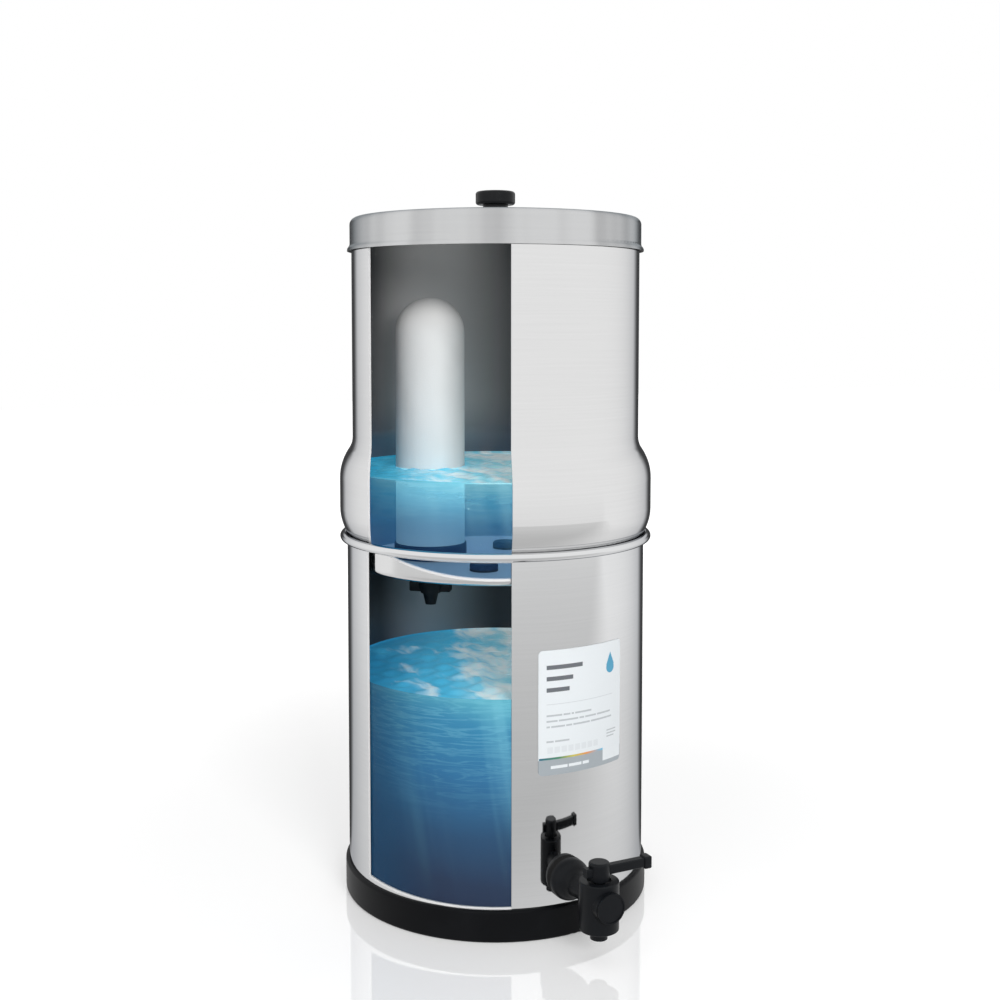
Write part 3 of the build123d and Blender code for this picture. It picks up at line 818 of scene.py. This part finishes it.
@dataclass(frozen=True)
class LabelPrint(Finish):
    """A plain printed label: bars in place of words, a rule, date boxes, a colour strip and a footer."""

    radius: float  # of the wall that it is on
    middle: float  # direction of its middle
    low: float  # height of its lower edge
    width: float
    height: float
    paper: Colour = (0.78, 0.82, 0.845)
    fibre: Colour = (0.55, 0.58, 0.6)
    ink: Colour = (0.06, 0.07, 0.085)
    soft_ink: Colour = (0.36, 0.39, 0.42)
    footer: Colour = (0.36, 0.4, 0.43)
    drop: Colour = (0.06, 0.33, 0.52)
    strip: Stops = (
        (0.0, (0.02, 0.14, 0.22)), (0.28, (0.05, 0.24, 0.12)), (0.5, (0.6, 0.55, 0.1)),
        (0.72, (0.78, 0.3, 0.08)), (1.0, (0.1, 0.48, 0.72)),
    )
    margin: float = 0.075  # of the print, as a share of the width
    cells: tuple[int, float] = (8, 0.6)  # how many date boxes, and the width of them all
    foot: float = 0.125  # height of the footer
    drop_place: Point = (0.84, 0.79)  # middle of the round part of the drop
    drop_size: float = 0.0022  # the square of its radius
    drop_tip: float = 0.125  # height of its tip over that
    corner: float = 0.735  # where the bare corner at the foot starts
    title: Sequence[Sequence[float]] = ((0.845, 0.034, 0.47), (0.755, 0.034, 0.36), (0.665, 0.034, 0.32))
    text: Sequence[Sequence[float]] = (
        (0.47, 0.014, 0.24, 0.33, 0.37, 0.58), (0.425, 0.014, 0.19, 0.42, 0.49, 0.64, 0.84),
        (0.38, 0.014, 0.11, 0.27, 0.35, 0.56, 0.86), (0.262, 0.014, 0.15, 0.32),
    )
    notes: Sequence[Sequence[float]] = (
        (0.79, 0.27, 0.01, 0.93), (0.79, 0.245, 0.01, 0.93), (0.79, 0.22, 0.01, 0.9),
        (0.76, 0.085, 0.012, 0.83, 0.93), (0.76, 0.06, 0.012, 0.88),
    )
    foot_line: Sequence[Sequence[float]] = ((0.12, 0.05, 0.024, 0.3, 0.46, 0.55),)

    def material(self) -> Material:
        """Paint the finish.

        Returns:
            The material.
        """
        paint = Surface(self.name)
        across = paint.angle(self.middle) * (self.radius / self.width) + 0.5
        page = Page(across, (paint.z - self.low) / self.height)
        title, text = (page.words([(self.margin, *row) for row in rows]) for rows in (self.title, self.text))
        text = text + page.words(self.notes)
        rule = page.block(self.margin, 0.565, 0.8, 0.005)
        count, wide = self.cells
        boxes = page.block(self.margin, 0.175, wide, 0.05)
        cell = paint.number("FRACT", (across - self.margin) * (count / wide))
        foot = page.up < self.foot
        aside = (across - self.drop_place[0]) * (self.width / self.height)
        rise = page.up - self.drop_place[1]
        point = (aside.size() < (self.drop_tip - rise) * 0.46) * rise.between(0.02, self.drop_tip)
        fibre = paint.noise(paint.place, 700.0)
        tone = self.paper
        for share, colour in (
            (fibre * 0.08, self.fibre),
            (boxes * 0.16, self.soft_ink),
            (boxes * (1.0 - cell.between(0.12, 0.88)) * 0.85, self.paper),
            (title * 0.9, self.ink),
            (text * 0.7 + rule * 0.4, self.soft_ink),
            (foot, self.footer),
            (page.words(self.foot_line), self.paper),
            (page.block(0.0, self.foot, self.corner, 0.016), paint.ramp(across / self.corner, self.strip)),
            (page.block(self.corner, 0.035, 0.265, 0.265) * foot, self.paper),
            (((aside * aside + rise * rise) < self.drop_size) + point, self.drop),
        ):
            tone = paint.mix(share, tone, colour)
        return paint.close({
            "Base Color": tone, "Roughness": 0.32 + fibre * 0.06, "Coat Weight": 0.2,
            "Coat Roughness": 0.15, "Normal": paint.bump(fibre, 0.00003, 0.3),
        })


# ---- sub-assemblies ----
def dress(finish: Finish, *nodes: str) -> None:
    """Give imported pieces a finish.

    Args:
        finish: what they are made of.
        nodes: the pieces' names.
    """
    material = finish.material()
    for name in nodes:
        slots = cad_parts[name].data.materials
        for number in range(len(slots)):
            slots[number] = material
        LOG.info("%s: %s", name, finish.name)


@dataclass
class Water:
    """A body of water that stands in a chamber, with small bubbles behind the window."""

    name: str
    body: Body  # the chamber's body
    outline: list[Point]  # the chamber's inner wall, from the axis up to the water's level
    holes: Sequence[Hole]  # centre x, centre y and radius of what stands up through it
    side: WaterBody  # finish of its side and bottom
    top: WaterTop  # finish of its surface
    seed: int  # picks the bubbles' places
    sides: int = 180  # flat sides of its round wall
    swell: float = 0.0006  # height of its ripples
    meniscus: float = 0.0012  # how far its edge climbs the wall
    bubbles: float = 1100.0  # how many bubbles there are to a square metre
    bubble_size: Point = (0.0003, 0.0007)  # radius of the smallest and of the largest
    bubble_span: Point = (194.0, 248.0)  # directions between which they hang
    bubble_keep: Point = (0.012, 0.004)  # how far they keep from the bottom and from the surface
    bubble_inset: float = 0.0007  # how far inside the narrowest wall they hang

    def surface(self) -> list[Point]:
        """The outline's last stretch: the meniscus, and the surface in to the axis."""
        (edge, level), lip = self.outline[-1], self.meniscus
        return [(edge - lip * s, level + lip * (1 - s) ** 2) for s in (0.0, 0.3, 0.65, 1.0)] + straight(
            (edge - lip, level), (0.0, level), 0.0035
        )

    def ripple(self, piece: Piece) -> None:
        """Lift and lower the surface in small waves that die out at the wall.

        Args:
            piece: the water.
        """
        edge, level = self.outline[-1]
        for vertex in piece.data.vertices:
            x, y, z = vertex.co
            radius = math.hypot(x, y)
            if z > level - NEAR_ZERO and radius < edge - self.meniscus:
                calm = min(1.0, (edge - self.meniscus - radius) / 0.015)
                wave = math.sin(x * 310.0 + 1.3 * math.sin(y * 190.0))
                vertex.co.z += self.swell * (wave + 0.6 * math.sin(y * 420.0 - x * 140.0)) * calm

    def bubble_sheet(self, count: int = 24) -> bpy.types.Mesh:
        """An upright sheet of quads just inside the water's side, for bubbles to hang on.

        Args:
            count: how many quads.

        Returns:
            The sheet.
        """
        low, high = self.outline[0][1] + self.bubble_keep[0], self.outline[-1][1] - self.bubble_keep[1]
        radius = min(r for r, z in self.outline if z > low) - self.bubble_inset
        start, end = self.bubble_span
        angles = [math.radians(start + (end - start) * number / count) for number in range(count + 1)]
        points = [(radius * math.cos(a), radius * math.sin(a), z) for a in angles for z in (low, high)]
        mesh = bpy.data.meshes.new(f"{self.name}_bubbles")
        mesh.from_pydata(points, [], [(2 * n, 2 * n + 2, 2 * n + 3, 2 * n + 1) for n in range(count)])
        return mesh

    def fasten(self, piece: Piece) -> None:
        """Fasten a new piece to the chamber's body.

        Args:
            piece: the new piece.
        """
        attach(piece, self.body.value)
        LOG.info("%s: %d faces, rides on %s", piece.name, len(piece.data.polygons), self.body.value)

    def build(self) -> None:
        """Turn the water, open it round what stands in it, dress it and hang its bubbles."""
        low, level = self.outline[0][1], self.outline[-1][1]
        line = [(radius, 0.0, height) for radius, height in self.outline + self.surface()]
        mesh = bpy.data.meshes.new(self.name)
        mesh.from_pydata(line, [(number, number + 1) for number in range(len(line) - 1)], [])
        piece = turning_tree().make(mesh, self.side.material(), Sides=self.sides)
        close_up(piece)
        self.ripple(piece)
        if self.holes:
            pierce(piece, self.holes, low - 0.01, level + 0.02)
        piece.data.materials.append(self.top.material())
        for face in piece.data.polygons:
            face.material_index = int(face.normal.z > 0.5 and face.center.z > level - 2 * self.swell)
        piece.data.shade_smooth()
        piece.data.set_sharp_from_angle(angle=math.radians(40.0))
        self.fasten(piece)
        smallest, largest = self.bubble_size
        finish = Bubbles(f"{self.side.name} bubbles").material()
        sizes = {"Density": self.bubbles, "Smallest": smallest, "Largest": largest, "Seed": self.seed}
        fizz = bubble_tree().make(self.bubble_sheet(), finish, **sizes)
        fizz.data.shade_smooth()
        self.fasten(fizz)


@dataclass
class LowerChamber:
    """The lower chamber on its rubber ring, with its window, its label and the filtered water in it."""

    inner_radius: float = 0.1072
    corner: float = 0.0042  # radius of the bend between its floor and its wall
    sheet: float = 0.0008
    gap: float = 0.0003  # between the wall and the water
    bead: float = 0.0052  # how far the rim's bead stands out from the wall
    water_level: float = 0.163  # height of the water
    label_middle: float = 277.3  # direction of the label's middle
    label_width: float = 0.069
    glow: float = 0.35  # strength of the water's painted glow, for the light that it scatters

    def steel(self) -> SheetSteel:
        """The chamber's finish."""
        return SheetSteel(
            "lower steel", (0.78, 0.785, 0.79), (0.36, 0.37, 0.385), (0.026, 0.028, 0.031),
            (0.03, 0.08, 0.15), 0.022, 0.3, Grain.AROUND, 2e-5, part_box("lower_chamber")[1].z - 0.008,
            self.water_level, sheen=(0.0, 0.54), bounce=0.06, water_shade=0.1,
            window=Window(0.087, 0.0236, 5.0, 0.108, 0.2554),
        )

    def water(self) -> Water:
        """The filtered water.

        Returns:
            It, ready to be built.
        """
        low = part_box("lower_chamber")[0].z + self.sheet + self.gap
        edge = self.inner_radius - self.gap
        outline = [(0.0, low), *straight((0.0, low), (edge - self.corner, low))]
        outline += bend((edge - self.corner, low + self.corner), self.corner, -90.0, 90.0)
        outline += straight((edge, low + self.corner), (edge, self.water_level))
        stops = (
            (0.0, (0.022, 0.03, 0.058)), (0.18, (0.024, 0.039, 0.075)), (0.4, (0.026, 0.066, 0.133)),
            (0.66, (0.031, 0.13, 0.262)), (0.88, (0.04, 0.19, 0.33)), (1.0, (0.085, 0.32, 0.42)),
        )
        side = WaterBody("filtered water", low, self.water_level, stops, (0.2, 0.52, 0.6),
                         (0.01, 0.052, 0.115), 0.8, (1.0, 1.0), 0.0, self.glow)
        top = WaterTop("filtered water surface", (0.022, 0.22, 0.42), (0.085, 0.52, 0.8),
                       (0.38, 0.8, 0.9), (0.85, 0.95, 0.95), edge, self.glow)
        return Water("filtered_water", Body.BASE, outline, (), side, top, 7)

    def build(self) -> None:
        """Dress the chamber and fill it."""
        low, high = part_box("label")
        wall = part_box("lower_chamber")[1].x - self.bead
        rubber = Moulded("base rubber", (0.0024, 0.0028, 0.0036), (0.007, 0.0075, 0.009), 0.42, 900.0, 6e-5)
        label = LabelPrint("label print", wall, self.label_middle, low.z, self.label_width, high.z - low.z)
        dress(self.steel(), "lower_chamber")
        dress(rubber, "base_ring")
        dress(Clear("clear pane"), "lower_window_pane")
        dress(label, "label")
        self.water().build()


@dataclass
class UpperChamber:
    """The upper chamber with its candles, its plugs and the water over them."""

    sheet: float = 0.0008
    gap: float = 0.0003  # between the wall and the water
    skirt_radius: float = 0.1054
    band_radius: float = 0.1131  # of the upright band on the bulge
    tube_radius: float = 0.1038
    corner: float = 0.004  # radius of the bend between its floor and its skirt
    skirt_height: float = 0.0171
    band: float = 0.021  # height of the upright band
    under: Point = (0.035, 0.006)  # radii of the bends under the band, outward and inward
    over: Point = (0.037, 0.015)  # radii of the bends over the band
    water_depth: float = 0.0685  # from the underside of its floor
    candle_radius: float = 0.0253
    glow: float = 0.35  # strength of the water's painted glow, for the light that it scatters

    def steel(self) -> SheetSteel:
        """The chamber's finish."""
        low, high = (corner.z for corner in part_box("upper_chamber"))
        return SheetSteel(
            "upper steel", (0.79, 0.79, 0.79), (0.74, 0.72, 0.71), (0.055, 0.055, 0.057), (0.35, 0.5, 0.75),
            0.05, 0.3, Grain.AROUND, 2e-5, high - 0.006, low + self.water_depth, low + 0.0015,
            (0.004, 0.016, 0.034), (0.095, 0.145, 0.19),
            window=Window(0.0851, low + 0.0053, 22.0, 0.1054, high - 0.0124),
        )

    def inner_line(self, floor: float) -> list[Point]:
        """The chamber's inside from the axis to above the water, kept a gap clear.

        Args:
            floor: height of the underside of its floor.

        Returns:
            The outline, as (radius, height).
        """
        off = self.sheet + self.gap
        skirt, band, tube = (r - off for r in (self.skirt_radius, self.band_radius, self.tube_radius))
        convex, concave = self.under[0] - off, self.under[1] + off
        turn = math.acos(1 - (band - skirt) / (convex + concave))
        band_low = floor + self.skirt_height + (convex + concave) * math.sin(turn)
        corner = self.corner - off
        line = [(0.0, floor + off), *straight((0.0, floor + off), (skirt - corner, floor + off))]
        line += bend((skirt - corner, floor + off + corner), corner, -90.0, 90.0)
        line += straight(line[-1], (skirt, floor + self.skirt_height))
        degrees = math.degrees(turn)
        line += bend((skirt + concave, floor + self.skirt_height), concave, 180.0, -degrees, 4.0)
        line += bend((band - convex, band_low), convex, -degrees, degrees, 4.0)
        line += straight((band, band_low), (band, band_low + self.band), 0.004)
        rise, into = self.over[0] - off, self.over[1] + off
        turn = math.degrees(math.acos(1 - (band - tube) / (rise + into)))
        return line + bend((band - rise, band_low + self.band), rise, 0.0, turn, 2.0)

    def water(self) -> Water:
        """The water that is being filtered.

        Returns:
            It, ready to be built.
        """
        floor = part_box("upper_chamber")[0].z
        level = floor + self.water_depth
        line = self.inner_line(floor)
        below = [point for point in line if point[1] < level - 1e-4]
        (edge, last), after = below[-1], line[len(below)]
        edge += (after[0] - edge) * ((level - last) / (after[1] - last))
        boxes = [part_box(name) for name in self.pairs("ceramic")]
        wide = self.candle_radius + self.gap
        holes = [((low.x + high.x) / 2, (low.y + high.y) / 2, wide) for low, high in boxes]
        stops = (
            (0.0, (0.018, 0.034, 0.07)), (0.3, (0.02, 0.052, 0.115)), (0.6, (0.026, 0.13, 0.235)),
            (0.85, (0.05, 0.29, 0.43)), (1.0, (0.16, 0.47, 0.54)),
        )
        side = WaterBody("raw water", floor, level, stops, (0.36, 0.7, 0.76), (0.014, 0.085, 0.16),
                         0.5, (0.24, 0.52), 0.09, self.glow)
        top = WaterTop("raw water surface", (0.03, 0.38, 0.62), (0.14, 0.66, 0.88),
                       (0.45, 0.85, 0.92), (0.9, 0.97, 0.97), edge, self.glow)
        return Water("raw_water", Body.UPPER, below + [(edge, level)], holes, side, top, 3)

    @staticmethod
    def pairs(of_candles: str, of_plugs: str = "") -> list[str]:
        """The names of one piece of both candles, and of one piece of both plugs."""
        names = [f"{side}_candle_{of_candles}" for side in ("left", "right")]
        return names + [f"{end}_{of_plugs}" for end in ("front", "rear") if of_plugs]

    def build(self) -> None:
        """Dress the chamber and what is in it, and fill it."""
        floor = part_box("upper_chamber")[0].z
        carbon = Moulded("carbon", (0.012, 0.012, 0.012), (0.03, 0.03, 0.03), 0.9, 1200.0, 3e-4)
        cap = Moulded("candle cap", (0.01, 0.011, 0.013), (0.03, 0.03, 0.032), 0.45, 700.0, 5e-5,
                      water_line=floor, tint=(0.012, 0.035, 0.095))
        nylon = Moulded("nut nylon", (0.011, 0.012, 0.014), (0.05, 0.05, 0.052), 0.48, 600.0, 8e-5)
        rubber = Moulded("seal rubber", (0.012, 0.012, 0.012), (0.03, 0.03, 0.03), 0.7, 500.0, 5e-5)
        dress(self.steel(), "upper_chamber")
        dress(Clear("clear pane"), "upper_window_pane")
        dress(Ceramic("candle ceramic", floor + self.water_depth), *self.pairs("ceramic"))
        dress(carbon, *self.pairs("carbon_core"))
        dress(cap, *self.pairs("base_cap", "blanking_plug"))
        dress(nylon, *self.pairs("wing_nut", "plug_nut"))
        dress(rubber, *self.pairs("seal_washer", "plug_washer"), "tap_outer_washer",
              "tap_inner_washer", "tap_lower_o_ring", "tap_upper_o_ring", "lid_knob_washer")
        self.water().build()


@dataclass
class Lid:
    """The lid with its knob."""

    polish_and_sheen_bands: float = 0.34  # strength of the soft bands across its polishing lines, partly polish and partly painted reflection
    all_outside: float = 9.0  # a height above the whole lid

    def build(self) -> None:
        """Dress the lid's pieces."""
        steel = SheetSteel(
            "lid steel", (0.66, 0.665, 0.67), (0.36, 0.35, 0.34), (0.2, 0.2, 0.2), (0.1, 0.1, 0.1),
            0.2, 0.3, Grain.RINGS, 4e-5, self.all_outside, edge_tone=(0.35, 0.38, 0.4), inner_metal=0.4,
            bounce=0.07, fan=self.polish_and_sheen_bands,
        )
        screw = SheetSteel(
            "screw steel", (0.55, 0.55, 0.56), (0.5, 0.5, 0.5), (0.5, 0.5, 0.5), (0.5, 0.5, 0.5),
            0.3, 0.3, Grain.RINGS, 2e-5, self.all_outside,
        )
        knob = Moulded("knob plastic", (0.006, 0.007, 0.008), (0.016, 0.016, 0.017), 0.3, 700.0, 3e-5, 0.15)
        dress(steel, "lid_shell")
        dress(knob, "lid_knob")
        dress(screw, "lid_knob_screw", "lid_screw_washer")


@dataclass
class Tap:
    """The lever tap."""

    rough: float = 0.4
    shine: float = 0.16  # strength of its reflections

    def build(self) -> None:
        """Dress the tap's pieces."""
        plastic = Moulded("tap plastic", (0.004, 0.005, 0.0066), (0.01, 0.011, 0.013), self.rough,
                          800.0, 6e-5, 0.03, self.shine)
        dress(plastic, "tap_body", "tap_front_cap", "tap_rotor", "tap_retaining_ring",
              "tap_stem_cap", "tap_lever", "tap_lever_tip", "tap_back_nut")


# ---- studio ----
@dataclass
class Studio:
    """Plain white floor and background, soft lamps, the camera, and two black flags painted into what
    reflections see.
    """

    floor_half: float = 6.0
    floor_drop: float = 0.0002  # how far the floor lies under the filter
    aim: Colour = (0.0, 0.0, 0.28)  # the place that the lamps point at
    camera_turn: float = -26.5  # from -Y, in degrees
    camera_away: float = 0.98935
    camera_height: float = 0.4111
    camera_dip: float = 3.87  # in degrees
    lens: float = 48.906  # in millimetres
    shift: Point = (0.0046, -0.0832)
    flag_inner: Point = (0.0, 0.1)  # slant at which a flag's inner edge starts and has darkened
    flag_outer: Point = (0.46, 0.84)  # slant at which its outer edge starts and has ended
    flag_near: Point = (0.02, 0.08)  # how far behind the axis the flags start and are whole
    flag_top: Point = (0.15, 0.23)  # how steeply up they start to end and have ended
    flag_gap: float = 0.105  # how far to the side of the axis they start, on the floor
    flag_depth: float = 0.89  # share of a reflection that they take

    def seen_from_front(self, x: Signal, y: Signal) -> tuple[Signal, Signal]:
        """How far a place lies towards the front, and how far to either side."""
        ahead, aside = along(x, y, 270.0 + self.camera_turn)
        return ahead, aside.size()

    def flagged(self, front: Signal, beside: Signal) -> Signal:
        """What two black flags, painted behind the object to either side, take of a reflection.

        Args:
            front: how far the reflected place lies towards the front.
            beside: how far it lies to either side.

        Returns:
            The share that they take.
        """
        behind = front.owner.number("MAXIMUM", front * -1.0, self.flag_near[0])
        slant = beside / behind
        hidden = slant.eased(*self.flag_outer, 1.0, 0.0) * slant.eased(*self.flag_inner)
        return hidden * behind.eased(*self.flag_near) * self.flag_depth

    def floor(self) -> None:
        """The white floor, with a faint gloss; it looks whiter to the camera than what it reflects."""
        half = self.floor_half
        sides = ((-half, -half), (half, -half), (half, half), (-half, half))
        mesh = bpy.data.meshes.new("floor")
        mesh.from_pydata([(x, y, -self.floor_drop) for x, y in sides], [], [(0, 1, 2, 3)])
        floor = link("floor", mesh)
        paint = Surface("floor")
        camera, glossy = paint.rays("Camera", "Glossy")
        matt = paint.node("ShaderNodeBsdfDiffuse", {"Color": (0.8, 0.8, 0.8)})
        raised = paint.white("ShaderNodeEmission", camera * paint.radius.eased(0.15, 1.2, 0.43, 1.0))
        paper = paint.node("ShaderNodeAddShader", {0: matt, 1: raised})
        gloss = paint.node("ShaderNodeBsdfGlossy", {"Color": WHITE, "Roughness": 0.05})
        seen = paint.blend(paint.radius.eased(0.5, 1.1, 0.24, 0.0), paper, gloss)
        front, beside = self.seen_from_front(paint.x, paint.y)
        # what reflections see of the floor is painted light: brighter towards the front and far out, with
        # the black flags painted dark
        power = paint.radius.eased(0.1, 1.3, 0.58, 0.74) + paint.radius.eased(1.0, 2.6, 0.0, 0.26)
        power = paint.number("MINIMUM", power + front.eased(-0.05, 0.35, 0.27, 0.0), 1.0)
        power = power * (1.0 - self.flagged(front, beside - self.flag_gap))
        mirrored = paint.white("ShaderNodeEmission", power)
        paint.node("ShaderNodeOutputMaterial", {"Surface": paint.blend(glossy, seen, mirrored)})
        mesh.materials.append(paint.material)

    def background(self) -> None:
        """A world that is white where it is seen, and a little dimmer where it only lights."""
        world = bpy.data.worlds.new("studio")
        bpy.context.scene.world = world
        world.use_nodes = True
        world.node_tree.nodes.clear()
        tree = NodeTree(world.node_tree)
        camera, glossy, through = tree.rays("Camera", "Glossy", "Transmission")
        seen = tree.number("MAXIMUM", tree.number("MAXIMUM", camera, glossy), through)
        x, y, z = tree.split(tree.node("ShaderNodeTexCoord").outputs["Generated"])
        # the black flags, painted dark where reflections see the world
        flag = self.flagged(*self.seen_from_front(x, y)) * z.eased(*self.flag_top, 1.0, 0.0) * glossy
        dim, white = (tree.white("ShaderNodeBackground", power) for power in (0.34, 1.0 - flag))
        tree.node("ShaderNodeOutputWorld", {"Surface": tree.blend(seen, dim, white)})

    def lamps(self) -> None:
        """Large soft lamps that point at the object."""
        for name, towards, away, height, size, power in (
            ("key lamp", 262.0, 2.0, 0.95, (0.7, 0.8), 26.0),
            ("fill lamp", 205.0, 2.0, 1.2, (1.2, 1.2), 4.0),
            ("top lamp", 250.0, 0.25, 2.0, (1.6, 1.6), 6.0),
        ):
            data = bpy.data.lights.new(name, "AREA")
            data.shape, data.energy = "RECTANGLE", power
            data.size, data.size_y = size
            lamp, way = link(name, data), math.radians(towards)
            lamp.location = (away * math.cos(way), away * math.sin(way), height)
            lamp.rotation_euler = (Vector(self.aim) - lamp.location).to_track_quat("-Z", "Y").to_euler()
            lamp.visible_glossy = False

    def camera(self) -> None:
        """The camera, level with the upper chamber's middle."""
        data = bpy.data.cameras.new("camera")
        data.lens = self.lens
        data.shift_x, data.shift_y = self.shift
        data.clip_start, data.clip_end = 0.05, 50.0
        camera = link("camera", data)
        turn, away = math.radians(self.camera_turn), self.camera_away
        camera.location = (away * math.sin(turn), -away * math.cos(turn), self.camera_height)
        camera.rotation_euler = (math.radians(90.0 - self.camera_dip), 0.0, turn)
        bpy.context.scene.camera = camera

    def build(self) -> None:
        """Set the studio up."""
        self.floor()
        self.background()
        self.lamps()
        self.camera()
        bpy.context.scene.view_settings.view_transform = "Standard"


def main() -> None:
    """Build the filter's finish, sub-assembly by sub-assembly."""
    logging.basicConfig(level=logging.INFO, format="%(message)s")
    for assembly in (LowerChamber(), UpperChamber(), Lid(), Tap(), Studio()):
        assembly.build()


if __name__ == "__main__":
    main()
